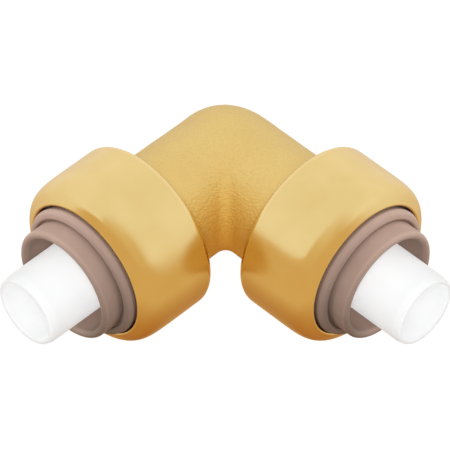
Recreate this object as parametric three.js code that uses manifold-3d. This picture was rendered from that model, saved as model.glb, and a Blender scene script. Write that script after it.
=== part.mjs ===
// A 90 degree push-fit elbow coupling for 5/8 inch (15.9 mm) pipe, in millimetres, +Z up.
// A cast brass elbow carries the same push-fit joint at each end. From the inside out a joint is a
// white pipe liner, a rubber O-ring, its protector, a toothed stainless grab ring, a sliding release
// collar, and a brass cap whose rear edge is rolled in behind a shoulder of the elbow.
// The elbow lies flat on its two caps. The origin is the middle of its footprint.
import * as THREE from "three";
import { mergeVertices } from "three/addons/utils/BufferGeometryUtils.js";
import Module from "manifold-3d";

const wasm = await Module();
wasm.setup();

// Driving dimensions. "at" is a distance from the elbow's centre along a port's axis.
const pipeRadius = 7.95;
const neckRadius = 9.8;
const capRadius = 14;
const linerEndAt = 42.2;
const collarEndAt = 34.7;
const capEndAt = 29.9;
const capRearAt = 16.6;
const pipeStopAt = 10.6;
const releaseTravel = 1.4;
const clearance = 0.15;
const roundSides = 40;
const arcSteps = 3;

// Radii and places that follow from them.
const linerOuter = 5.9;
const linerInner = 4.9;
const linerFlange = 7.3;
const linerTailAt = 8;
const waterwayRadius = linerOuter + clearance;
const pipeSocketRadius = pipeRadius + clearance;
const sealSeatRadius = pipeRadius + 2.65;
const sealSeatAt = pipeStopAt + 8.5;
const spigotEndAt = 23.4;
const spigotRadius = capRadius - 1.7;
const capBore = spigotRadius + 0.25;
const capSeatAt = 25.35;
const capCavityRadius = capBore - 0.55;
const mouthRadius = 11.4;
const collarBore = 8.25;
const tubeRadius = 9.65;
const shoulderRadius = 11.1;

const materials = {
  castBrass: new THREE.MeshStandardMaterial({ color: 0xd9b25f, roughness: 0.5, metalness: 0.9 }),
  satinBrass: new THREE.MeshStandardMaterial({ color: 0xdfb866, roughness: 0.3, metalness: 0.9 }),
  taupePlastic: new THREE.MeshStandardMaterial({ color: 0x9c8074, roughness: 0.45, metalness: 0 }),
  whitePlastic: new THREE.MeshStandardMaterial({ color: 0xf2f2f0, roughness: 0.4, metalness: 0 }),
  greyPlastic: new THREE.MeshStandardMaterial({ color: 0x55585c, roughness: 0.5, metalness: 0 }),
  stainless: new THREE.MeshStandardMaterial({ color: 0xb9bcc0, roughness: 0.3, metalness: 1 }),
  rubber: new THREE.MeshStandardMaterial({ color: 0x1b1b1c, roughness: 0.7, metalness: 0 }),
};

// A closed outline of radius against distance along the axis, turned around the local Y axis.
function turned(outline, sides = roundSides) {
  const points = outline.getPoints(arcSteps);
  if (!points[0].equals(points[points.length - 1])) points.push(points[0].clone());
  return new THREE.LatheGeometry(points, sides);
}

function solidOf(geometry) {
  const bare = geometry.clone();
  bare.deleteAttribute("normal");
  bare.deleteAttribute("uv");
  const merged = mergeVertices(bare, 1e-4);
  const mesh = new wasm.Mesh({
    numProp: 3,
    vertProperties: merged.attributes.position.array,
    triVerts: new Uint32Array(merged.index.array),
  });
  return new wasm.Manifold(mesh);
}

function geometryOf(solid) {
  const mesh = solid.getMesh();
  const geometry = new THREE.BufferGeometry();
  geometry.setAttribute("position", new THREE.BufferAttribute(mesh.vertProperties, 3));
  geometry.setIndex(new THREE.BufferAttribute(mesh.triVerts, 1));
  geometry.computeVertexNormals();
  return geometry;
}

// Port A points along +X and port B along -Y. Turned pieces point along local +Y.
const ports = [
  { letter: "a", turn: -Math.PI / 2 },
  { letter: "b", turn: Math.PI },
];

function onPort(geometry, port) {
  return geometry.clone().rotateZ(port.turn);
}

// Elbow body: two necks, a ball at the outer corner and a rounding in the inner corner.
function spigotOutline() {
  const flareStartAt = capRearAt - 2.2;
  const lipGrooveRadius = 10.55;
  const shoulderAt = capRearAt + 1.3;
  const outline = new THREE.Path();
  outline.moveTo(0, 0);
  outline.lineTo(neckRadius, 0);
  outline.lineTo(neckRadius, flareStartAt);
  outline.quadraticCurveTo(neckRadius, capRearAt - 0.3, lipGrooveRadius, capRearAt + 0.2);
  outline.lineTo(lipGrooveRadius, shoulderAt);
  outline.lineTo(spigotRadius, shoulderAt);
  outline.lineTo(spigotRadius, spigotEndAt - 0.5);
  outline.lineTo(spigotRadius - 0.5, spigotEndAt);
  outline.lineTo(0, spigotEndAt);
  return outline;
}

function socketOutline() {
  const leadIn = 0.4;
  const pastEnd = 1;
  const outline = new THREE.Path();
  outline.moveTo(0, 0);
  outline.lineTo(waterwayRadius, 0);
  outline.lineTo(waterwayRadius, pipeStopAt);
  outline.lineTo(pipeSocketRadius, pipeStopAt);
  outline.lineTo(pipeSocketRadius, sealSeatAt);
  outline.lineTo(sealSeatRadius, sealSeatAt);
  outline.lineTo(sealSeatRadius, spigotEndAt - leadIn);
  outline.lineTo(sealSeatRadius + leadIn, spigotEndAt);
  outline.lineTo(sealSeatRadius + leadIn, spigotEndAt + pastEnd);
  outline.lineTo(0, spigotEndAt + pastEnd);
  return outline;
}

// A lathe outline that starts and ends on the axis is closed without its axial line.
function turnedFromAxis(outline, sides = roundSides) {
  return new THREE.LatheGeometry(outline.getPoints(arcSteps), sides);
}

// A quarter ring that rounds the sharp inner corner where the two necks meet.
function innerCornerRounding() {
  const innerFillet = 2;
  const ringRadius = 6;
  const bendRadius = ringRadius + innerFillet;
  const corner = neckRadius + innerFillet;
  const centre = new THREE.Vector3(corner, -corner, 0);
  const section = new THREE.Shape().absarc(0, 0, ringRadius, 0, 2 * Math.PI);
  class Bend extends THREE.Curve {
    getPoint(share, target = new THREE.Vector3()) {
      const angle = Math.PI / 2 + (share * Math.PI) / 2;
      return target.set(Math.cos(angle), Math.sin(angle), 0).multiplyScalar(bendRadius).add(centre);
    }
  }
  return new THREE.ExtrudeGeometry(section, {
    steps: 8,
    curveSegments: 12,
    extrudePath: new Bend(),
  });
}

function elbowBody() {
  const corner = new THREE.SphereGeometry(neckRadius, roundSides, roundSides / 2);
  let body = solidOf(corner.rotateX(Math.PI / 2)).add(solidOf(innerCornerRounding()));
  for (const port of ports) body = body.add(solidOf(onPort(turnedFromAxis(spigotOutline()), port)));
  const innerCorner = new THREE.SphereGeometry(waterwayRadius, roundSides, roundSides / 2);
  let hollow = solidOf(innerCorner.rotateX(Math.PI / 2));
  for (const port of ports) hollow = hollow.add(solidOf(onPort(turnedFromAxis(socketOutline()), port)));
  return geometryOf(body.subtract(hollow));
}

// Retaining cap: a straight barrel with a long soft shoulder, open at the mouth, its rear lip rolled in.
function retainingCap() {
  const lipInner = 10.9;
  const lipThickness = 1.1;
  const rearRound = 1.3;
  const mouthRound = 0.7;
  const cavityEndAt = capEndAt - 1.6;
  const outline = new THREE.Path();
  outline.moveTo(lipInner, capRearAt);
  outline.lineTo(capRadius - rearRound, capRearAt);
  outline.absarc(capRadius - rearRound, capRearAt + rearRound, rearRound, -Math.PI / 2, 0);
  outline.lineTo(capRadius, capRearAt + 4.9);
  outline.bezierCurveTo(capRadius, 26.8, 13.6, capEndAt, 12.1, capEndAt);
  outline.lineTo(mouthRadius + mouthRound, capEndAt);
  outline.absarc(mouthRadius + mouthRound, capEndAt - mouthRound, mouthRound, Math.PI / 2, Math.PI);
  outline.lineTo(mouthRadius, cavityEndAt + 0.6);
  outline.lineTo(capCavityRadius, cavityEndAt);
  outline.lineTo(capCavityRadius, capSeatAt);
  outline.lineTo(capBore, capSeatAt);
  outline.lineTo(capBore, capRearAt + lipThickness);
  outline.lineTo(lipInner, capRearAt + lipThickness);
  outline.lineTo(lipInner, capRearAt);
  return turned(outline);
}

// O-ring that seals on the pipe.
function oRing() {
  const sectionRadius = 1.33;
  const middleRadius = sealSeatRadius - clearance - sectionRadius - 0.05;
  const outline = new THREE.Path();
  outline.absarc(middleRadius, sealSeatAt + 1.5, sectionRadius, 0, 2 * Math.PI);
  return new THREE.LatheGeometry(outline.getPoints(6), roundSides);
}

// O-ring protector: a sleeve that holds the O-ring in its seat, dished in front so the teeth can bend back.
function sealProtector() {
  const bore = 9.2;
  const sleeveRadius = sealSeatRadius - 0.25;
  const backAt = 22.05;
  const flangeBackAt = spigotEndAt + 0.25;
  const flangeFrontAt = flangeBackAt + 0.8;
  const dishFloorAt = 22.45;
  const outline = new THREE.Path();
  outline.moveTo(bore, backAt);
  outline.lineTo(sleeveRadius, backAt);
  outline.lineTo(sleeveRadius, flangeBackAt);
  outline.lineTo(spigotRadius - 0.1, flangeBackAt);
  outline.lineTo(spigotRadius - 0.1, flangeFrontAt);
  outline.lineTo(10.5, flangeFrontAt);
  outline.lineTo(bore, dishFloorAt);
  outline.lineTo(bore, backAt);
  return turned(outline);
}

// Grab ring: a flat stainless rim with teeth that lean back towards the elbow and bite the pipe.
function grabRing() {
  const thickness = 0.45;
  const rimBackAt = 24.65;
  const rimInner = 10.7;
  const toothTip = 7.6;
  const toothLean = 2.05;
  const toothCount = 16;
  const slotWidth = 0.9;
  const slotRootWidth = 1.3;
  const outline = new THREE.Path();
  outline.moveTo(toothTip, rimBackAt - toothLean);
  outline.lineTo(rimInner, rimBackAt);
  outline.lineTo(spigotRadius, rimBackAt);
  outline.lineTo(spigotRadius, rimBackAt + thickness);
  outline.lineTo(rimInner, rimBackAt + thickness);
  outline.lineTo(toothTip, rimBackAt - toothLean + thickness);
  outline.lineTo(toothTip, rimBackAt - toothLean);
  let ring = solidOf(turned(outline));
  const slotOutline = new THREE.Shape();
  slotOutline.moveTo(toothTip - 1, -slotWidth / 2);
  slotOutline.lineTo(rimInner - 0.2, -slotWidth / 2);
  slotOutline.absarc(rimInner - 0.35, 0, slotRootWidth / 2, -Math.PI / 2, Math.PI / 2);
  slotOutline.lineTo(toothTip - 1, slotWidth / 2);
  const slot = new THREE.ExtrudeGeometry(slotOutline, { depth: 8, bevelEnabled: false, curveSegments: 4 });
  slot.rotateX(-Math.PI / 2).translate(0, rimBackAt - 4, 0);
  for (let i = 0; i < toothCount; i += 1) {
    const turn = ((i + 0.5) * 2 * Math.PI) / toothCount;
    ring = ring.subtract(solidOf(slot.clone().rotateY(turn)));
  }
  return geometryOf(ring);
}

// Release collar: a nose that reaches the teeth, a flange kept inside the cap, a rounded shoulder that
// fills the mouth, and the tube that is pressed in by hand.
function releaseCollar() {
  const noseAt = 24.4;
  const noseRadius = 9;
  const flangeRadius = capCavityRadius - 0.2;
  const flangeBackAt = capSeatAt + releaseTravel + clearance;
  const flangeFrontAt = flangeBackAt + 1.2;
  const beadRadius = 0.7;
  const beadAt = capEndAt + 0.9;
  const grooveAt = beadAt - 0.1;
  const lipRound = 0.55;
  const outline = new THREE.Path();
  outline.moveTo(collarBore, noseAt);
  outline.lineTo(noseRadius - 0.25, noseAt);
  outline.lineTo(noseRadius, noseAt + 0.5);
  outline.lineTo(noseRadius, flangeBackAt - 0.9);
  outline.lineTo(noseRadius + 0.9, flangeBackAt);
  outline.lineTo(flangeRadius, flangeBackAt);
  outline.lineTo(flangeRadius, flangeFrontAt - 0.4);
  outline.lineTo(flangeRadius - 0.4, flangeFrontAt);
  outline.lineTo(shoulderRadius, flangeFrontAt);
  outline.lineTo(shoulderRadius, beadAt);
  outline.absarc(shoulderRadius - beadRadius, beadAt, beadRadius, 0, Math.PI);
  outline.lineTo(tubeRadius, grooveAt);
  outline.lineTo(tubeRadius, collarEndAt - lipRound);
  outline.absarc(tubeRadius - lipRound, collarEndAt - lipRound, lipRound, 0, Math.PI / 2);
  outline.lineTo(collarBore + 0.45, collarEndAt);
  outline.lineTo(collarBore, collarEndAt - 0.6);
  outline.lineTo(collarBore, noseAt);
  return turned(outline);
}

// Pipe liner: a thin tube that stiffens the pipe's end from inside, with a flange that the pipe butts on.
function pipeLiner() {
  const flangeBackAt = pipeStopAt + 0.3;
  const flangeFrontAt = flangeBackAt + 1.4;
  const endRound = 0.6;
  const outline = new THREE.Path();
  outline.moveTo(linerInner, linerTailAt);
  outline.lineTo(linerOuter - 0.3, linerTailAt);
  outline.lineTo(linerOuter, linerTailAt + 0.5);
  outline.lineTo(linerOuter, flangeBackAt);
  outline.lineTo(linerFlange, flangeBackAt);
  outline.lineTo(linerFlange, flangeFrontAt);
  outline.lineTo(linerOuter, flangeFrontAt);
  outline.lineTo(linerOuter, linerEndAt - endRound);
  outline.absarc(linerOuter - endRound, linerEndAt - endRound, endRound, 0, Math.PI / 2);
  outline.lineTo(linerInner + 0.15, linerEndAt);
  outline.lineTo(linerInner, linerEndAt - 0.3);
  outline.lineTo(linerInner, linerTailAt);
  return turned(outline);
}

// The assembly, moved so that the origin is the middle of the footprint.
const coupling = new THREE.Group();
const footprintMiddle = (linerEndAt - capRadius) / 2;
coupling.position.set(-footprintMiddle, footprintMiddle, capRadius);

function place(name, geometry, material, parent = coupling) {
  const mesh = new THREE.Mesh(geometry, material);
  mesh.name = name;
  parent.add(mesh);
}

place("elbow_body", elbowBody(), materials.castBrass);
for (const port of ports) {
  const group = new THREE.Group();
  group.rotation.z = port.turn;
  coupling.add(group);
  place(`retaining_cap_${port.letter}`, retainingCap(), materials.satinBrass, group);
  place(`release_collar_${port.letter}`, releaseCollar(), materials.taupePlastic, group);
  place(`grab_ring_${port.letter}`, grabRing(), materials.stainless, group);
  place(`seal_protector_${port.letter}`, sealProtector(), materials.greyPlastic, group);
  place(`o_ring_${port.letter}`, oRing(), materials.rubber, group);
  place(`pipe_liner_${port.letter}`, pipeLiner(), materials.whitePlastic, group);
}

export default coupling;
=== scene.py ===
import math

import bpy
import numpy as np
from mathutils import Matrix, Vector


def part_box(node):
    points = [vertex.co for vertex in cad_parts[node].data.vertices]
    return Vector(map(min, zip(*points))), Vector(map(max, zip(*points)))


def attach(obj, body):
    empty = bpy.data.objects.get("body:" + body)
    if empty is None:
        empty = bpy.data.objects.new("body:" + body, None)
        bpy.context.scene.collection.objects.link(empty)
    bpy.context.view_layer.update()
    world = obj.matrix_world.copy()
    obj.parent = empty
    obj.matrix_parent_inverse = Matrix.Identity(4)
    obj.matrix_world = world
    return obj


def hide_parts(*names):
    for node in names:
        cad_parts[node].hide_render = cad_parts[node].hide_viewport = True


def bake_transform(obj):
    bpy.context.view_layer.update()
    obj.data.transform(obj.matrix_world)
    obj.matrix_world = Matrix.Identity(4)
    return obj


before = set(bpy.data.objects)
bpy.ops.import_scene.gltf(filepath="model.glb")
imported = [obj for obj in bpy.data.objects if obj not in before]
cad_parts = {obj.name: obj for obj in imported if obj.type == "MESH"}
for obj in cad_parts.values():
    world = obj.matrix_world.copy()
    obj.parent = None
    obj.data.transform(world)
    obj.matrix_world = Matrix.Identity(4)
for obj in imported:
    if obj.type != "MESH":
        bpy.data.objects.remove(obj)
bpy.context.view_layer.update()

# ---------------------------------------------------------------- the frame
# Sizes are in millimetres. A profile's corners are (distance from the elbow's centre along the port,
# radius, rounding), and a closed profile runs round the whole section of its piece.
MM = 0.001
CAP_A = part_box("retaining_cap_a")
CAP_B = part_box("retaining_cap_b")
CENTRE = Vector((
    (CAP_B[0].x + CAP_B[1].x) / 2,
    (CAP_A[0].y + CAP_A[1].y) / 2,
    (CAP_A[0].z + CAP_A[1].z) / 2,
))
# Port A leaves the centre along +X, and port B along -Y.
PORTS = {
    "a": Matrix.Translation(CENTRE),
    "b": Matrix.Translation(CENTRE) @ Matrix.Rotation(-math.pi / 2, 4, "Z"),
}
# The casting. BEND_CENTRE is how far from both pipe axes the inner corner's rounding has its centre.
NECK_RADIUS = 9.8
BEND_CENTRE = 11.8
WATERWAY_RADIUS = 6.05
SOCKET_RADIUS = 8.1
SEAL_SEAT_RADIUS = 10.6
SPIGOT_RADIUS = 12.3
SPIGOT_END = 23.4
# The cap.
CAP_RADIUS = 14.0
CAP_REAR = 16.6
CAP_FACE = 30.25
MOUTH_RADIUS = 11.15
# The collar. It is loose, so it hangs a little low in its cap.
COLLAR_BORE = 8.1
COLLAR_RADIUS = 9.36
COLLAR_END = 34.6
COLLAR_SAG = 0.11
# The liner.
LINER_BORE = 4.9
LINER_RADIUS = 5.9
LINER_END = 42.2
# The O-ring's section, and the middle plane of the grab ring's rim.
SEAL_AT = 20.6
SEAL_RADIUS = 9.07
SEAL_THICKNESS = 2.66
RING_PLANE = 24.875


# ---------------------------------------------------------------- mesh making
def sides_at(points, i):
    """The unit vectors from a corner to its neighbours, and the lengths of these two sides."""
    u = points[i - 1] - points[i]
    v = points[(i + 1) % len(points)] - points[i]
    lu, lv = np.linalg.norm(u), np.linalg.norm(v)
    return u / lu, v / lv, lu, lv


def rounded(corners, closed=True, steps=5, support=0.12):
    """A profile with its corners rounded, and the wear at each point: 1 on a convex rounding, else 0."""
    count = len(corners)
    pts = [np.array(c[:2], float) for c in corners]
    area = sum(
        pts[i][0] * pts[(i + 1) % count][1] - pts[(i + 1) % count][0] * pts[i][1]
        for i in range(count)
    )
    # How far the profile turns at each corner, and how much its rounding takes off both sides.
    turns, cuts = [], []
    for i, (_, _, radius) in enumerate(corners):
        u, v, lu, lv = sides_at(pts, i)
        turn = math.pi - math.acos(np.clip(u @ v, -1, 1))
        end_point = not closed and i in (0, count - 1)
        sharp = end_point or radius <= 0 or turn < 0.02
        turns.append(turn)
        cuts.append(0.0 if sharp else min(radius * math.tan(turn / 2), 0.49 * lu, 0.49 * lv))
    points, wear = [], []

    def add(point, mark=0.0):
        points.append(point)
        wear.append(mark)

    for i, (turn, cut) in enumerate(zip(turns, cuts)):
        here = pts[i]
        if cut == 0:
            add(here)
            continue
        u, v, lu, lv = sides_at(pts, i)
        radius = cut / math.tan(turn / 2)
        start, end = here + u * cut, here + v * cut
        bisector = (u + v) / np.linalg.norm(u + v)
        middle = here + bisector * radius / math.cos(turn / 2)
        cross = v[0] * u[1] - v[1] * u[0]
        convex = 1.0 if cross * area > 0 else 0.0
        spoke = start - middle
        sweep = turn if cross > 0 else -turn
        # A point close to the rounding, on a long straight side, keeps that side flat when shaded.
        if lu - cut - cuts[i - 1] > 3 * support:
            add(start + u * support)
        for k in range(steps + 1):
            c, s = math.cos(sweep * k / steps), math.sin(sweep * k / steps)
            add(middle + np.array([c * spoke[0] - s * spoke[1], s * spoke[0] + c * spoke[1]]), convex)
        if lv - cut - cuts[(i + 1) % count] > 3 * support:
            add(end + v * support)
    return np.array(points), np.array(wear)


def make_mesh(name, vertices, faces, wear=None):
    mesh = bpy.data.meshes.new(name)
    mesh.from_pydata([tuple(v) for v in vertices], [], faces)
    if wear is not None:
        layer = mesh.attributes.new("wear", "FLOAT", "POINT")
        layer.data.foreach_set("value", np.asarray(wear, np.float32))
    mesh.polygons.foreach_set("use_smooth", [True] * len(mesh.polygons))
    mesh.update()
    obj = bpy.data.objects.new(name, mesh)
    bpy.context.scene.collection.objects.link(obj)
    return obj


def closed_grid(name, rows, wear):
    """A closed surface from rings of points joined one to the next and the last to the first."""
    count, sides = rows.shape[:2]
    vertices = rows.reshape(-1, 3) * MM
    faces = []
    for i in range(count):
        j = (i + 1) % count
        for k in range(sides):
            m = (k + 1) % sides
            faces.append((i * sides + k, i * sides + m, j * sides + m, j * sides + k))
    corners = vertices[np.array(faces)]
    twice = np.cross(corners[:, 2] - corners[:, 0], corners[:, 3] - corners[:, 1])
    if np.einsum("ij,ij->i", corners.mean(1), twice).sum() < 0:
        faces = [f[::-1] for f in faces]
    return make_mesh(name, vertices, faces, np.repeat(wear, sides))


def ring(s, r, sides):
    """A ring of points round port A's axis."""
    t = np.arange(sides) * 2 * math.pi / sides
    return np.stack([np.full(sides, s), r * np.cos(t), r * np.sin(t)], 1)


def turned(name, profile, port, sides=160):
    """A turned piece on a port's axis."""
    points, wear = profile
    obj = closed_grid(name, np.array([ring(s, r, sides) for s, r in points]), wear)
    obj.matrix_world = PORTS[port]
    return obj


# ---------------------------------------------------------------- elbow body
def necks(p, radius, fillet):
    """How far points are outside two round-ended necks that leave the origin along +X and -Y.
    The inner corner between them is rounded; the ball at the outer corner is not changed."""
    x, y, z = p[..., 0], p[..., 1], p[..., 2]
    origin = np.sqrt(x * x + y * y + z * z)
    on_a, on_b = x > 0, y < 0
    length_a = np.where(on_a, np.hypot(y, z), origin)
    length_b = np.where(on_b, np.hypot(x, z), origin)
    normal_a = np.stack([np.where(on_a, 0, x), y, z], -1) / length_a[..., None]
    normal_b = np.stack([x, np.where(on_b, 0, y), z], -1) / length_b[..., None]
    r = fillet * np.clip(1 - (normal_a * normal_b).sum(-1), 0, 1)
    a, b = length_a - radius, length_b - radius
    return np.maximum(r, np.minimum(a, b)) - np.hypot(np.maximum(r - a, 0), np.maximum(r - b, 0))


def bend_section(radius, phi, sides):
    """The bend cut by the half-plane at angle phi about the upright line through BEND_CENTRE.
    Each point is found by halving the stretch between the section's middle and a point far outside."""
    b, c, s = BEND_CENTRE, math.cos(phi), math.sin(phi)
    reach = b * (s + c) + math.sqrt(max((b * (s + c)) ** 2 - 2 * b * b + radius * radius, 0))
    if b * c >= (radius + b) * s:
        reach = (radius + b) / c
    elif b * s >= (radius + b) * c:
        reach = (radius + b) / s
    middle = (reach + b - radius) / 2
    t = np.arange(sides) * 2 * math.pi / sides
    far_outside, halvings = 30.0, 40
    low, high = np.zeros(sides), np.full(sides, far_outside)
    for _ in range(halvings):
        tried = (low + high) / 2
        out = middle + tried * np.cos(t)
        p = np.stack([b - out * s, out * c - b, tried * np.sin(t)], -1)
        outside = (necks(p, radius, b - radius) > 0) | (out < 0)
        low, high = np.where(outside, low, tried), np.where(outside, tried, high)
    return p


def cast_wobble(p):
    """The slight unevenness of a sand casting: slow waves, and quicker ones half as high."""
    slow = ((0.62, 0.35, -0.48, 0.3), (-0.41, 0.77, 0.29, 1.9), (0.15, -0.52, 0.83, 4.1))
    quick = ((1.31, 0.74, 0.66, 2.2), (-0.92, 1.18, -1.07, 5.3), (0.57, -1.43, 1.21, 0.8))
    heights = [(wave, 0.020) for wave in slow] + [(wave, 0.010) for wave in quick]
    return sum(height * np.sin(p @ np.array(wave[:3]) + wave[3]) for wave, height in heights)


def elbow_body():
    sides, bend_steps = 192, 60
    points, wear = rounded([
        (BEND_CENTRE, NECK_RADIUS, 0),
        *[(BEND_CENTRE + 0.4 * k, NECK_RADIUS, 0) for k in range(1, 5)],
        (14.9, NECK_RADIUS, 4),
        (16.4, 10.65, 1.2),
        (17.9, 10.7, 0.2),
        (17.9, SPIGOT_RADIUS, 0.15),
        (SPIGOT_END, SPIGOT_RADIUS, 0.5),
        (SPIGOT_END, 11.0, 0.1),
        (22.9, SEAL_SEAT_RADIUS, 0.1),
        (19.1, SEAL_SEAT_RADIUS, 0.15),
        (19.1, SOCKET_RADIUS, 0.25),
        (BEND_CENTRE + 0.4, SOCKET_RADIUS, 0.3),
        (BEND_CENTRE, WATERWAY_RADIUS, 0),
    ], closed=False)
    arm_a = [ring(s, r, sides) for s, r in points]
    # Port B is port A mirrored in the upright plane through the bend.
    arm_b = [np.stack([-p[:, 1], -p[:, 0], p[:, 2]], 1) for p in arm_a]
    phis = [math.pi / 2 * k / bend_steps for k in range(1, bend_steps)]
    inside = [bend_section(WATERWAY_RADIUS, phi, sides) for phi in phis]
    outside = [bend_section(NECK_RADIUS, phi, sides) for phi in reversed(phis)]
    rows = np.array(arm_a + inside + arm_b[::-1] + outside)
    none = [0.0] * len(phis)
    wear = np.concatenate([wear, none, wear[::-1], none])
    # Only the outside of the bare casting between the caps is uneven, and it is moved towards or away
    # from the bend's middle line.
    x, y, z = rows[..., 0], rows[..., 1], rows[..., 2]
    along = np.maximum(x, -y)
    across = np.hypot(np.where(x > -y, y, x), z)
    bare = np.clip((15.5 - along) / 2, 0, 1) * (across > 8.5)
    away = rows - np.stack([np.clip(x, 0, 10), np.clip(y, -10, 0), 0 * z], -1)
    away = away / np.linalg.norm(away, axis=-1, keepdims=True)
    rows = rows + away * ((cast_wobble(rows) - 0.06) * bare)[..., None]
    obj = closed_grid("elbow_casting", rows, wear)
    obj.matrix_world = PORTS["a"]
    return obj


# ---------------------------------------------------------------- turned pieces
def cap_profile():
    """A barrel with a long soft shoulder down to the mouth, and a rolled-in rear lip.
    The shoulder is a quarter of a superellipse, tilted so that the face leans back from the mouth."""
    start, power, slope, steps = 20.9, 6.0, 0.55, 22
    shoulder = []
    for k in range(1, steps):
        t = k / steps * math.pi / 2
        along = math.sin(t) ** (2 / power)
        outward = (CAP_RADIUS - MOUTH_RADIUS) * math.cos(t) ** (2 / power)
        reach = CAP_FACE - slope * outward - start
        if outward > 0.6:
            shoulder.append((start + reach * along, MOUTH_RADIUS + outward, 0))
    return rounded([
        (CAP_REAR, 10.85, 0.25),
        (CAP_REAR, CAP_RADIUS, 1.35),
        *[(18.5 + 0.6 * k, CAP_RADIUS, 0) for k in range(5)],
        *shoulder,
        (CAP_FACE, MOUTH_RADIUS, 0.3),
        (28.5, MOUTH_RADIUS, 0.2),
        (28.3, 12.0, 0.2),
        (25.35, 12.0, 0.1),
        (25.35, 12.55, 0.1),
        (17.7, 12.55, 0.2),
        (17.7, 10.85, 0.25),
    ])


# Nose, flange, shoulder with its bead, step, and tube.
COLLAR = [
    (24.4, COLLAR_BORE, 0.1),
    (24.4, 9.0, 0.3),
    (26.1, 9.0, 0.4),
    (26.9, 9.9, 0.3),
    (26.9, 11.8, 0.15),
    (28.1, 11.8, 0.35),
    (28.1, 10.8, 0.2),
    (29.6, 10.8, 0.6),
    (30.4, 11.0, 0.6),
    (31.15, 10.65, 0.7),
    (31.42, 9.95, 0.35),
    (31.3, 9.7, 0.1),
    (30.6, COLLAR_RADIUS, 0.1),
    (COLLAR_END, COLLAR_RADIUS, 0.6),
    (COLLAR_END, COLLAR_BORE, 0.6),
]
# Inner end, flange, and tube.
LINER = [
    (8.0, LINER_BORE, 0.15),
    (8.0, LINER_RADIUS, 0.4),
    (10.9, LINER_RADIUS, 0.1),
    (10.9, 7.3, 0.12),
    (12.3, 7.3, 0.12),
    (12.3, LINER_RADIUS, 0.2),
    (41.1, LINER_RADIUS, 1.6),
    (LINER_END, 5.62, 0.4),
    (LINER_END, LINER_BORE, 0.34),
]
# A cone behind the grab ring, and a flat rim.
PROTECTOR = [
    (22.05, 9.2, 0.1),
    (22.05, 10.35, 0.15),
    (23.65, 10.35, 0.1),
    (23.65, 12.2, 0.1),
    (24.45, 12.2, 0.12),
    (24.45, 10.5, 0.15),
    (22.45, 9.2, 0.1),
]


def o_ring_profile():
    """A round section with the fine flash lines of its mould, inside and outside."""
    steps = 36
    flash_lines = (steps // 4, 3 * steps // 4)
    points, wear = [], []
    for k in range(steps):
        t = 2 * math.pi * k / steps
        r = SEAL_THICKNESS / 2 + (0.03 if k in flash_lines else 0)
        points.append((SEAL_AT + r * math.cos(t), SEAL_RADIUS + r * math.sin(t)))
        wear.append(1.0 if k in flash_lines else 0.0)
    return np.array(points), np.array(wear)


def grab_ring(port):
    """A pressed sheet ring: a flat rim and leaning teeth parted by slots."""
    teeth, per_tooth, per_slot = 16, 8, 2
    slot_width, tooth_root, bend_radius, lean = 0.9, 10.62, 10.7, 2.05 / 3.1
    radii = [7.6, 8.1, 8.8, 9.6, 10.3, tooth_root, 10.8, 11.3, 11.9, 12.3]
    columns = [(i, k) for i in range(teeth) for k in range(per_tooth + per_slot)]
    wide = len(columns)

    def angle(i, k, r):
        pitch = 2 * math.pi / teeth
        slot = slot_width / r
        if k <= per_tooth:
            return i * pitch + slot / 2 + (pitch - slot) * k / per_tooth
        return i * pitch + slot / 2 + (pitch - slot) + slot * (k - per_tooth) / per_slot

    vertices, faces = [], []
    for r in radii:
        s = RING_PLANE - max(0.0, bend_radius - r) * lean
        for i, k in columns:
            a = angle(i, k, min(r, tooth_root))
            vertices.append((s, r * math.cos(a), r * math.sin(a)))
    for j, r in enumerate(radii[:-1]):
        for c, (_, k) in enumerate(columns):
            if r < tooth_root and k >= per_tooth:
                continue
            d = (c + 1) % wide
            faces.append((j * wide + c, j * wide + d, (j + 1) * wide + d, (j + 1) * wide + c))
    used = sorted({v for f in faces for v in f})
    index = {v: n for n, v in enumerate(used)}
    points = np.array([vertices[v] for v in used]) * MM
    obj = make_mesh(f"grab_ring_sheet_{port}", points, [tuple(index[v] for v in f) for f in faces])
    obj.matrix_world = PORTS[port]
    thick = obj.modifiers.new("thickness", "SOLIDIFY")
    thick.thickness = 0.45 * MM
    thick.offset = 0
    edge = obj.modifiers.new("edge", "BEVEL")
    edge.width = 0.05 * MM
    edge.segments = 2
    edge.limit_method = "ANGLE"
    return obj


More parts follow.
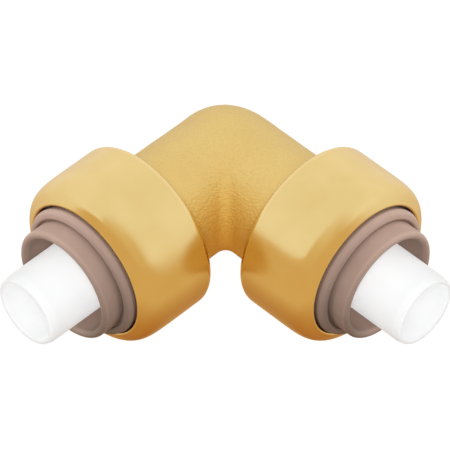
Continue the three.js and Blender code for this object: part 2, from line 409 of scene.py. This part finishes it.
# ---------------------------------------------------------------- materials
class Nodes:
    """Short names for making a node tree. A material's textures are in object space, in millimetres."""

    def __init__(self, owner):
        owner.use_nodes = True
        self.owner = owner
        self.tree = owner.node_tree
        self.coordinates = self.tree.nodes.new("ShaderNodeTexCoord").outputs

    def link(self, a, b):
        self.tree.links.new(a, b)

    def mapped(self, scale=(1, 1, 1), shift=(0, 0, 0), turn=0.0):
        """Object coordinates turned about Z and then scaled."""
        node = self.tree.nodes.new("ShaderNodeMapping")
        node.vector_type = "TEXTURE"
        node.inputs["Location"].default_value = [MM * x for x in shift]
        node.inputs["Rotation"].default_value = (0, 0, turn)
        node.inputs["Scale"].default_value = [MM / x for x in scale]
        self.link(self.coordinates["Object"], node.inputs["Vector"])
        return node.outputs["Vector"]

    def distance(self, vector, point):
        node = self.tree.nodes.new("ShaderNodeVectorMath")
        node.operation = "DISTANCE"
        self.link(vector, node.inputs[0])
        node.inputs[1].default_value = point
        return node.outputs["Value"]

    def noise(self, vector, scale, detail=3, roughness=0.5):
        node = self.tree.nodes.new("ShaderNodeTexNoise")
        node.inputs["Scale"].default_value = scale
        node.inputs["Detail"].default_value = detail
        node.inputs["Roughness"].default_value = roughness
        self.link(vector, node.inputs["Vector"])
        return node.outputs["Fac"]

    def cells(self, vector, scale):
        node = self.tree.nodes.new("ShaderNodeTexVoronoi")
        node.inputs["Scale"].default_value = scale
        self.link(vector, node.inputs["Vector"])
        return node.outputs["Distance"]

    def ramp(self, value, stops):
        node = self.tree.nodes.new("ShaderNodeValToRGB")
        elements = node.color_ramp.elements
        while len(elements) < len(stops):
            elements.new(0.5)
        for element, (place, colour) in zip(elements, stops):
            element.position = place
            element.color = (colour, colour, colour, 1) if isinstance(colour, float) else (*colour, 1)
        self.link(value, node.inputs["Fac"])
        return node.outputs["Color"]

    def range(self, value, low, high, from_low=0.0, from_high=1.0):
        """The value brought from one range to another, and held at its ends."""
        node = self.tree.nodes.new("ShaderNodeMapRange")
        node.inputs["From Min"].default_value = from_low
        node.inputs["From Max"].default_value = from_high
        node.inputs["To Min"].default_value = low
        node.inputs["To Max"].default_value = high
        self.link(value, node.inputs["Value"])
        return node.outputs["Result"]

    def math(self, operation, a, b):
        node = self.tree.nodes.new("ShaderNodeMath")
        node.operation = operation
        for socket, value in zip(node.inputs, (a, b)):
            if isinstance(value, (int, float)):
                socket.default_value = value
            else:
                self.link(value, socket)
        return node.outputs["Value"]

    def mix(self, factor, a, b):
        """Colour a where the factor is 0, and b, a colour or a socket, where it is 1."""
        node = self.tree.nodes.new("ShaderNodeMix")
        node.data_type = "RGBA"
        colour_a, colour_b, result = node.inputs[6], node.inputs[7], node.outputs[2]
        self.link(factor, node.inputs["Factor"])
        self.link(a, colour_a)
        if isinstance(b, tuple):
            colour_b.default_value = (*b, 1)
        else:
            self.link(b, colour_b)
        return result

    def wear(self):
        """The mark that the profiles leave on their worn edges."""
        node = self.tree.nodes.new("ShaderNodeAttribute")
        node.attribute_name = "wear"
        return node.outputs["Fac"]

    def bump(self, height, distance, strength=1.0, after=None):
        node = self.tree.nodes.new("ShaderNodeBump")
        node.inputs["Strength"].default_value = strength
        node.inputs["Distance"].default_value = distance * MM
        self.link(height, node.inputs["Height"])
        if after is not None:
            self.link(after, node.inputs["Normal"])
        return node.outputs["Normal"]

    def finish(self, colour, roughness, normal=None, **constants):
        """Joins the surface shader up. A constant's name is its socket's, with _ for each space."""
        shader = self.tree.nodes["Principled BSDF"]
        for name, value in constants.items():
            shader.inputs[name.replace("_", " ")].default_value = value
        self.link(colour, shader.inputs["Base Color"])
        self.link(roughness, shader.inputs["Roughness"])
        if normal is not None:
            self.link(normal, shader.inputs["Normal"])
        return self.owner


def new_material(name):
    return Nodes(bpy.data.materials.new(name))


def satin_brass(seed):
    """Machined and tumbled brass with faint turning lines. The seed moves the pattern."""
    n = new_material(f"satin_brass_{seed}")
    soft = n.noise(n.mapped(shift=(seed * 7.3, 0, 0)), 0.16, 2)
    fine = n.noise(n.mapped(scale=(1, 0.12, 0.12), shift=(0, seed * 5.1, 0)), 6, 4, 0.6)
    speck = n.noise(n.mapped(shift=(0, 0, seed * 3.7)), 3.2, 3)
    colour = n.ramp(soft, [(0.3, (0.785, 0.58, 0.235)), (0.7, (0.825, 0.63, 0.28))])
    colour = n.mix(n.math("MULTIPLY", n.wear(), 0.35), colour, (0.90, 0.70, 0.34))
    rough = n.math("ADD", n.range(soft, 0.15, 0.21, 0.3, 0.7), n.range(speck, -0.03, 0.03))
    normal = n.bump(fine, 0.004, 0.5)
    normal = n.bump(speck, 0.010, 0.5, normal)
    return n.finish(colour, rough, normal, Metallic=1.0)


def cast_brass():
    """Bare cast brass: grainy and rippled near the inner corner. In the crook below it the colour is
    painted a deeper orange, as painted bounce light from the brass arms.
    """
    n = new_material("cast_brass")
    soft = n.noise(n.mapped(), 0.13, 3)
    grain = n.noise(n.mapped(), 2.6, 4, 0.62)
    ripples = n.noise(n.mapped(scale=(0.35, 1, 1), turn=math.pi / 4), 2.6, 3, 0.6)
    near_corner = n.range(n.distance(n.mapped(), (8.0, -8.0, 6.0)), 1.0, 0.3, 3.0, 13.0)
    ripples = n.math("MULTIPLY", ripples, near_corner)
    pits = n.cells(n.mapped(), 3.1)
    colour = n.ramp(grain, [(0.3, (0.76, 0.54, 0.18)), (0.7, (0.84, 0.625, 0.24))])
    colour = n.mix(n.range(soft, 0.0, 0.5, 0.35, 0.75), colour, (0.77, 0.53, 0.17))
    # Painted bounce light: near this point in the crook the colour is painted a deeper, redder orange,
    # standing for light bounced between the brass arms. The same zone is also made rougher.
    painted_bounce_zone = n.range(n.distance(n.mapped(), (11.0, -11.0, -3.0)), 1.0, 0.0, 4.0, 13.0)
    colour = n.mix(painted_bounce_zone, colour, (0.90, 0.575, 0.12))
    colour = n.mix(n.math("MULTIPLY", n.wear(), 0.3), colour, (0.88, 0.68, 0.32))
    rough = n.math("ADD", n.range(grain, 0.38, 0.50, 0.3, 0.7), n.range(soft, -0.03, 0.03))
    rough = n.math("ADD", rough, n.math("MULTIPLY", painted_bounce_zone, 0.15))
    normal = n.bump(ripples, 0.24, 0.8)
    normal = n.bump(grain, 0.10, 0.6, normal)
    normal = n.bump(pits, 0.05, 0.4, normal)
    return n.finish(colour, rough, normal, Metallic=0.72)


def moulded(name, low, high, roughness, grain_scale, worn=0.4, **constants):
    """A moulded plastic or rubber: a slight drift of colour, a fine grain and worn edges."""
    n = new_material(name)
    soft = n.noise(n.mapped(), 0.22, 3)
    grain = n.noise(n.mapped(), grain_scale, 3, 0.6)
    colour = n.ramp(soft, [(0.3, low), (0.7, high)])
    lighter = tuple(min(1.0, 1.15 * x + 0.02) for x in high)
    colour = n.mix(n.math("MULTIPLY", n.wear(), worn), colour, lighter)
    drift = n.range(soft, roughness - 0.04, roughness + 0.04)
    rough = n.math("ADD", drift, n.range(grain, -0.05, 0.05))
    return n.finish(colour, rough, n.bump(grain, 0.012, 0.5), **constants)


def pressed_steel():
    """Rolled stainless sheet with fine lines."""
    n = new_material("pressed_steel")
    soft = n.noise(n.mapped(), 0.3, 3)
    lines = n.noise(n.mapped(scale=(1, 1, 0.05)), 8, 3)
    colour = n.ramp(soft, [(0.3, (0.55, 0.56, 0.58)), (0.7, (0.66, 0.67, 0.69))])
    rough = n.math("ADD", n.range(soft, 0.24, 0.34), n.range(lines, -0.05, 0.05))
    return n.finish(colour, rough, n.bump(lines, 0.004, 0.5), Metallic=1.0)


CAST = cast_brass()
TAUPE = moulded(
    "taupe_acetal", (0.32, 0.217, 0.172), (0.35, 0.241, 0.194), 0.42, 5.0,
    Specular_IOR_Level=0.15,
)
# The emission stands for the light that shows through the liner's thin white wall.
WHITE = moulded(
    "white_liner_plastic", (0.41, 0.415, 0.42), (0.43, 0.43, 0.43), 0.36, 4.0,
    worn=0.08,
    Specular_IOR_Level=0.25,
    Subsurface_Weight=1.0,
    Subsurface_Radius=(1, 1, 1),
    Subsurface_Scale=4 * MM,
    Emission_Color=(1, 1, 1, 1),
    Emission_Strength=0.47,
)
GREY = moulded("grey_protector_plastic", (0.085, 0.09, 0.10), (0.11, 0.115, 0.125), 0.45, 4.0)
RUBBER = moulded("seal_rubber", (0.012, 0.012, 0.012), (0.02, 0.02, 0.021), 0.38, 6.0)
STEEL = pressed_steel()


def dress(obj, look, body, node):
    """Gives a piece its material and slot, the CAD node it replaces and the body it rides on."""
    obj.data.materials.append(look)
    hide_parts(node)
    if body is not None:
        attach(obj, body)
    return obj


def add_port(port, seed):
    """The six pieces round one port."""
    collar, liner = f"collar_{port}", f"liner_{port}"
    cap = turned(f"cap_barrel_{port}", cap_profile(), port, 192)
    dress(cap, satin_brass(seed), "fitting", f"retaining_cap_{port}")
    tube = turned(f"collar_tube_{port}", rounded(COLLAR), port)
    tube.matrix_world = Matrix.Translation((0, 0, -COLLAR_SAG * MM)) @ tube.matrix_world
    dress(tube, TAUPE, collar, f"release_collar_{port}")
    pipe = turned(f"liner_tube_{port}", rounded(LINER), port, 128)
    dress(pipe, WHITE, liner, f"pipe_liner_{port}")
    guard = turned(f"protector_ring_{port}", rounded(PROTECTOR, steps=3), port, 96)
    dress(guard, GREY, "fitting", f"seal_protector_{port}")
    seal = turned(f"o_ring_seal_{port}", o_ring_profile(), port, 96)
    dress(seal, RUBBER, "fitting", f"o_ring_{port}")
    steel = grab_ring(port)
    dress(steel, STEEL, None, f"grab_ring_{port}")
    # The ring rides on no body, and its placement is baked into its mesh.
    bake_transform(steel)


dress(elbow_body(), CAST, "fitting", "elbow_body")
add_port("a", 1)
add_port("b", 2)


# ---------------------------------------------------------------- floor, light and camera
def pale_floor():
    """A large flat floor that shows nearly white. Shiny and matt surfaces don't see it: the world's
    light is what they get from below."""
    half, below = 6.0, 0.0002
    corners = [(-half, -half, 0), (half, -half, 0), (half, half, 0), (-half, half, 0)]
    floor = make_mesh("floor", corners, [(0, 1, 2, 3)])
    floor.location.z = -below
    n = new_material("pale_floor")
    tone = n.noise(n.mapped(scale=(0.01, 0.01, 0.01)), 0.3, 2)
    colour = n.ramp(tone, [(0.3, (0.115, 0.115, 0.115)), (0.7, (0.125, 0.125, 0.125))])
    glow = {"Emission_Color": (1, 1, 1, 1), "Emission_Strength": 0.93}
    floor.data.materials.append(n.finish(colour, n.range(tone, 0.7, 0.8), **glow))
    floor.visible_glossy = False
    floor.visible_diffuse = False


# The view is square between the ports, from 46 degrees above the plane of the pipes, by a long lens.
ELEVATION = math.radians(46.2)
DISTANCE = 0.647
LENS = 336.45
# The camera points a little below the object, which sits high in the picture.
TILT = math.radians(-0.7738)
SWING = math.radians(0.0068)
TO_CAMERA = Vector((
    math.cos(ELEVATION) * math.sin(math.pi / 4),
    -math.cos(ELEVATION) * math.cos(math.pi / 4),
    math.sin(ELEVATION),
))


def place_camera():
    camera = bpy.data.objects.new("camera", bpy.data.cameras.new("camera"))
    bpy.context.scene.collection.objects.link(camera)
    camera.data.sensor_width = 36
    camera.data.lens = LENS
    camera.data.clip_start = 0.02
    camera.data.clip_end = 50
    camera.location = CENTRE + TO_CAMERA * DISTANCE
    camera.rotation_mode = "QUATERNION"
    look = (-TO_CAMERA).to_track_quat("-Z", "Y")
    aim = Matrix.Rotation(SWING, 3, "Y") @ Matrix.Rotation(TILT, 3, "X")
    camera.rotation_quaternion = (look.to_matrix() @ aim).to_quaternion()
    bpy.context.scene.camera = camera


pale_floor()
place_camera()

# What a shiny surface sees: a warm table below, white diffusers behind and beside the object, and a
# dimmer, warmer room in front of it. The colours are rounded from an estimate made from the
# photographed brass, and were then adjusted by comparing renders with the photograph.
TABLE_BEHIND = (0.46, 0.20, 0.06)
TABLE_IN_FRONT = (0.55, 0.25, 0.07)
TABLE_EDGE = (0.64, 0.39, 0.16)
DIFFUSER_FOOT = (0.85, 0.72, 0.54)
DIFFUSER_LOW = (0.99, 0.95, 0.90)
DIFFUSER = (1.03, 1.03, 1.05)
DIFFUSER_TOP = (0.99, 0.98, 0.95)
ROOM = (0.79, 0.58, 0.31)
ROOM_HIGH = (0.86, 0.72, 0.49)
CEILING = (0.92, 0.83, 0.70)
# A stop is (upward part of the direction, colour).
BEHIND = (
    (-1.0, TABLE_BEHIND), (-0.8, TABLE_EDGE), (-0.6, DIFFUSER_FOOT), (-0.2, DIFFUSER_LOW),
    (0.4, DIFFUSER), (1.0, DIFFUSER_TOP),
)
IN_FRONT = (
    (-1.0, TABLE_IN_FRONT), (-0.8, TABLE_EDGE), (-0.6, ROOM), (0.15, ROOM), (0.8, ROOM_HIGH),
    (1.0, CEILING),
)
# The even light that matt surfaces get.
EVEN = ((-1.0, 0.05), (-0.1, 0.12), (0.2, 0.40), (1.0, 0.46))
# Where a diffuser ends, as the cosine of the angle from the camera's side, seen from above: 57
# degrees high up and 98 degrees low down. The left one is still back at 75 degrees half-way up.
END_HIGH, END_LEFT, END_LOW = 0.55, 0.25, -0.14


def studio():
    """Large white diffusers behind and at both sides, and a dimmer, warmer room in front and below.
    Only shiny surfaces see it. Matt surfaces get an even white light."""
    n = Nodes(bpy.data.worlds.new("studio"))
    direction = n.coordinates["Generated"]
    split = n.tree.nodes.new("ShaderNodeSeparateXYZ")
    n.link(direction, split.inputs[0])
    up = split.outputs["Z"]
    height = n.range(up, 0, 1, -1, 1)

    def part_along(x, y):
        node = n.tree.nodes.new("ShaderNodeVectorMath")
        node.operation = "DOT_PRODUCT"
        node.inputs[1].default_value = Vector((x, y, 0)).normalized()
        n.link(direction, node.inputs[0])
        return node.outputs["Value"]

    def by_height(stops):
        return n.ramp(height, [((z + 1) / 2, value) for z, value in stops])

    end_right = n.range(up, END_LOW, END_HIGH, -0.6, 0.33)
    lower_left = n.range(up, END_LOW, END_LEFT, -0.6, 0.2)
    upper_left = n.range(up, 0, END_HIGH - END_LEFT, 0.2, 0.42)
    end_left = n.math("ADD", lower_left, upper_left)
    level = n.math("POWER", n.math("SUBTRACT", 1.0, n.math("MULTIPLY", up, up)), 0.5)
    to_right, to_camera = (1, 1), (1, -1)
    side = n.range(part_along(*to_right), 0, 1, -0.2, 0.2)
    right = n.math("MULTIPLY", end_right, side)
    left = n.math("MULTIPLY", end_left, n.math("SUBTRACT", 1.0, side))
    edge = n.math("MULTIPLY", level, n.math("ADD", right, left))
    past = n.math("SUBTRACT", part_along(*to_camera), edge)
    # The edge is sharp on the left and soft on the right.
    width = n.range(part_along(*to_right), 0.025, 0.20, -0.5, 0.2)
    blend = n.tree.nodes.new("ShaderNodeMapRange")
    blend.interpolation_type = "SMOOTHSTEP"
    n.link(past, blend.inputs["Value"])
    n.link(n.math("MULTIPLY", width, -1.0), blend.inputs["From Min"])
    n.link(width, blend.inputs["From Max"])
    light = n.mix(blend.outputs["Result"], by_height(BEHIND), by_height(IN_FRONT))
    glossy = n.tree.nodes.new("ShaderNodeLightPath").outputs["Is Glossy Ray"]
    light = n.mix(glossy, by_height(EVEN), light)
    n.link(light, n.tree.nodes["Background"].inputs["Color"])
    n.tree.nodes["Background"].inputs["Strength"].default_value = 1.0
    bpy.context.scene.world = n.owner


def softbox(name, direction, side, power, pieces):
    """A square area light a metre away, which reaches only these pieces, and which no mirror shows."""
    light = bpy.data.lights.new(name, "AREA")
    light.shape = "SQUARE"
    light.size = side
    light.energy = power
    obj = bpy.data.objects.new(name, light)
    bpy.context.scene.collection.objects.link(obj)
    away = Vector(direction).normalized()
    obj.location = CENTRE + away
    obj.rotation_mode = "QUATERNION"
    obj.rotation_quaternion = away.to_track_quat("Z", "Y")
    obj.visible_camera = False
    obj.visible_glossy = False
    lit = bpy.data.collections.new(f"{name}_pieces")
    for piece in pieces:
        lit.objects.link(piece)
    obj.light_linking.receiver_collection = lit


studio()
collars = [bpy.data.objects[f"collar_tube_{port}"] for port in "ab"]
others = [obj for obj in bpy.context.scene.objects if obj.type == "MESH" and obj not in collars]
softbox("front_fill", TO_CAMERA, 0.3, 7.6, others)
softbox("collar_fill", TO_CAMERA, 0.3, 4.3, collars)
softbox("collar_top", (-0.3, 0.3, 1), 1.0, 3.6, collars)
softbox("collar_left", (-0.82, -0.51, 0.26), 1.3, 14.5, collars)
softbox("collar_right", (0.51, 0.82, 0.26), 1.3, 14.5, collars)
bpy.context.scene.view_settings.view_transform = "Standard"
